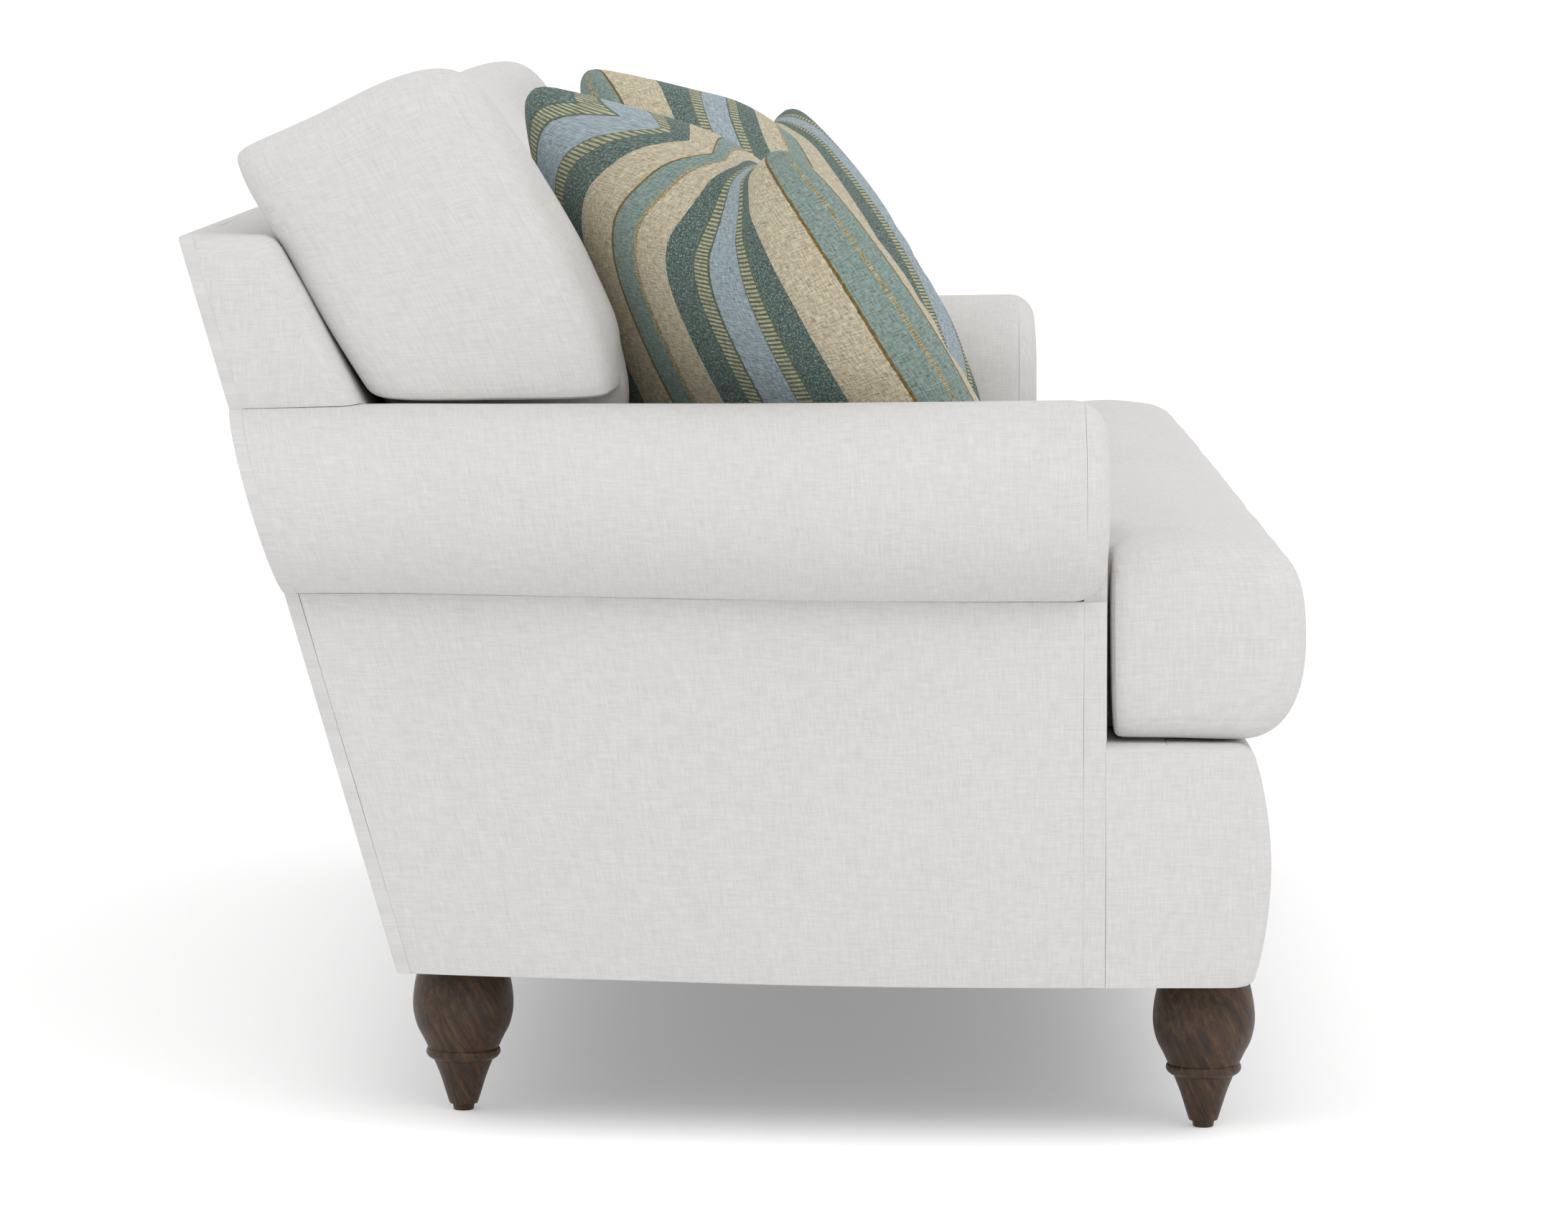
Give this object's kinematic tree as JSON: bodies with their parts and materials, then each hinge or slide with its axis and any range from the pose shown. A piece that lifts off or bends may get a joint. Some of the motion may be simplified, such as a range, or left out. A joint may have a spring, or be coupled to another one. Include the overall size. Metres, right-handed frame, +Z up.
{
  "type": "english roll arm sofa",
  "caption": "Upholstered roll arm sofa with eared loose seat and back cushions, striped throw pillows in the corners and turned wooden legs.",
  "frame": {"origin": "on the floor, under the middle of the whole sofa", "axes": "+Z up, the sofa faces -Y, and its length runs along X, with +X on the right of someone who looks at it from the front"},
  "size_m": [2.2098, 1, 0.9445],
  "materials": {
    "linen": "off-white slubby linen weave, matte",
    "striped_linen": "woven stripes in slate green, sage, blue-grey and beige, matte",
    "walnut": "dark walnut stain, semi-gloss",
    "hardwood": "sawn, unfinished",
    "steel": "plain drawn wire and bolts",
    "foam": "cushion foam",
    "wadding": "soft fibre and down",
    "cambric": "thin black lining cloth"
  },
  "bodies": {
    "sofa": {"front_rail": "hardwood", "rear_rail": "hardwood", "right_side_rail": "hardwood", "left_side_rail": "hardwood", "centre_rail": "hardwood", "right_front_leg_block": "hardwood", "left_front_leg_block": "hardwood", "right_rear_leg_block": "hardwood", "left_rear_leg_block": "hardwood", "right_arm_stump": "hardwood", "left_arm_stump": "hardwood", "right_arm_board": "hardwood", "left_arm_board": "hardwood", "right_back_post": "hardwood", "left_back_post": "hardwood", "back_top_rail": "hardwood", "back_lower_rail": "hardwood", "back_centre_post": "hardwood", "right_arm_stuffing": "wadding", "left_arm_stuffing": "wadding", "right_seat_spring_1": "steel", "left_seat_spring_1": "steel", "right_seat_spring_2": "steel", "left_seat_spring_2": "steel", "right_seat_spring_3": "steel", "left_seat_spring_3": "steel", "right_seat_spring_4": "steel", "left_seat_spring_4": "steel", "right_front_hanger_bolt": "steel", "left_front_hanger_bolt": "steel", "right_rear_hanger_bolt": "steel", "left_rear_hanger_bolt": "steel", "seat_deck": "cambric", "dust_cover": "cambric", "right_arm_cover": "linen", "left_arm_cover": "linen", "right_outside_arm_panel": "linen", "left_outside_arm_panel": "linen", "right_arm_facing": "linen", "left_arm_facing": "linen", "inside_back_cover": "linen", "outside_back_panel": "linen", "front_border": "linen", "right_front_leg": "walnut", "left_front_leg": "walnut", "right_rear_leg": "walnut", "left_rear_leg": "walnut"},
    "right_seat_cushion": {"right_seat_cushion": "linen", "right_seat_cushion_core": "foam"},
    "right_back_cushion": {"right_back_cushion": "linen", "right_back_cushion_fill": "wadding"},
    "right_throw_pillow": {"right_throw_pillow": "striped_linen", "right_throw_pillow_insert": "wadding"},
    "left_seat_cushion": {"left_seat_cushion": "linen", "left_seat_cushion_core": "foam"},
    "left_back_cushion": {"left_back_cushion": "linen", "left_back_cushion_fill": "wadding"},
    "left_throw_pillow": {"left_throw_pillow": "striped_linen", "left_throw_pillow_insert": "wadding"}
  },
  "joints": [
    {"name": "right_seat_cushion_out", "type": "slide", "parent": "sofa", "child": "right_seat_cushion", "axis": [0, -1, 0], "range_m": [0, 0.7]},
    {"name": "right_back_cushion_out", "type": "slide", "parent": "sofa", "child": "right_back_cushion", "axis": [0, 0.3746, 0.9272], "range_m": [0, 0.45]},
    {"name": "right_throw_pillow_out", "type": "slide", "parent": "sofa", "child": "right_throw_pillow", "axis": [-0.4203, -0.6004, 0.6804], "range_m": [0, 0.5]},
    {"name": "left_seat_cushion_out", "type": "slide", "parent": "sofa", "child": "left_seat_cushion", "axis": [0, -1, 0], "range_m": [0, 0.7]},
    {"name": "left_back_cushion_out", "type": "slide", "parent": "sofa", "child": "left_back_cushion", "axis": [0, 0.3746, 0.9272], "range_m": [0, 0.45]},
    {"name": "left_throw_pillow_out", "type": "slide", "parent": "sofa", "child": "left_throw_pillow", "axis": [0.4203, -0.6004, 0.6804], "range_m": [0, 0.5]}
  ]
}
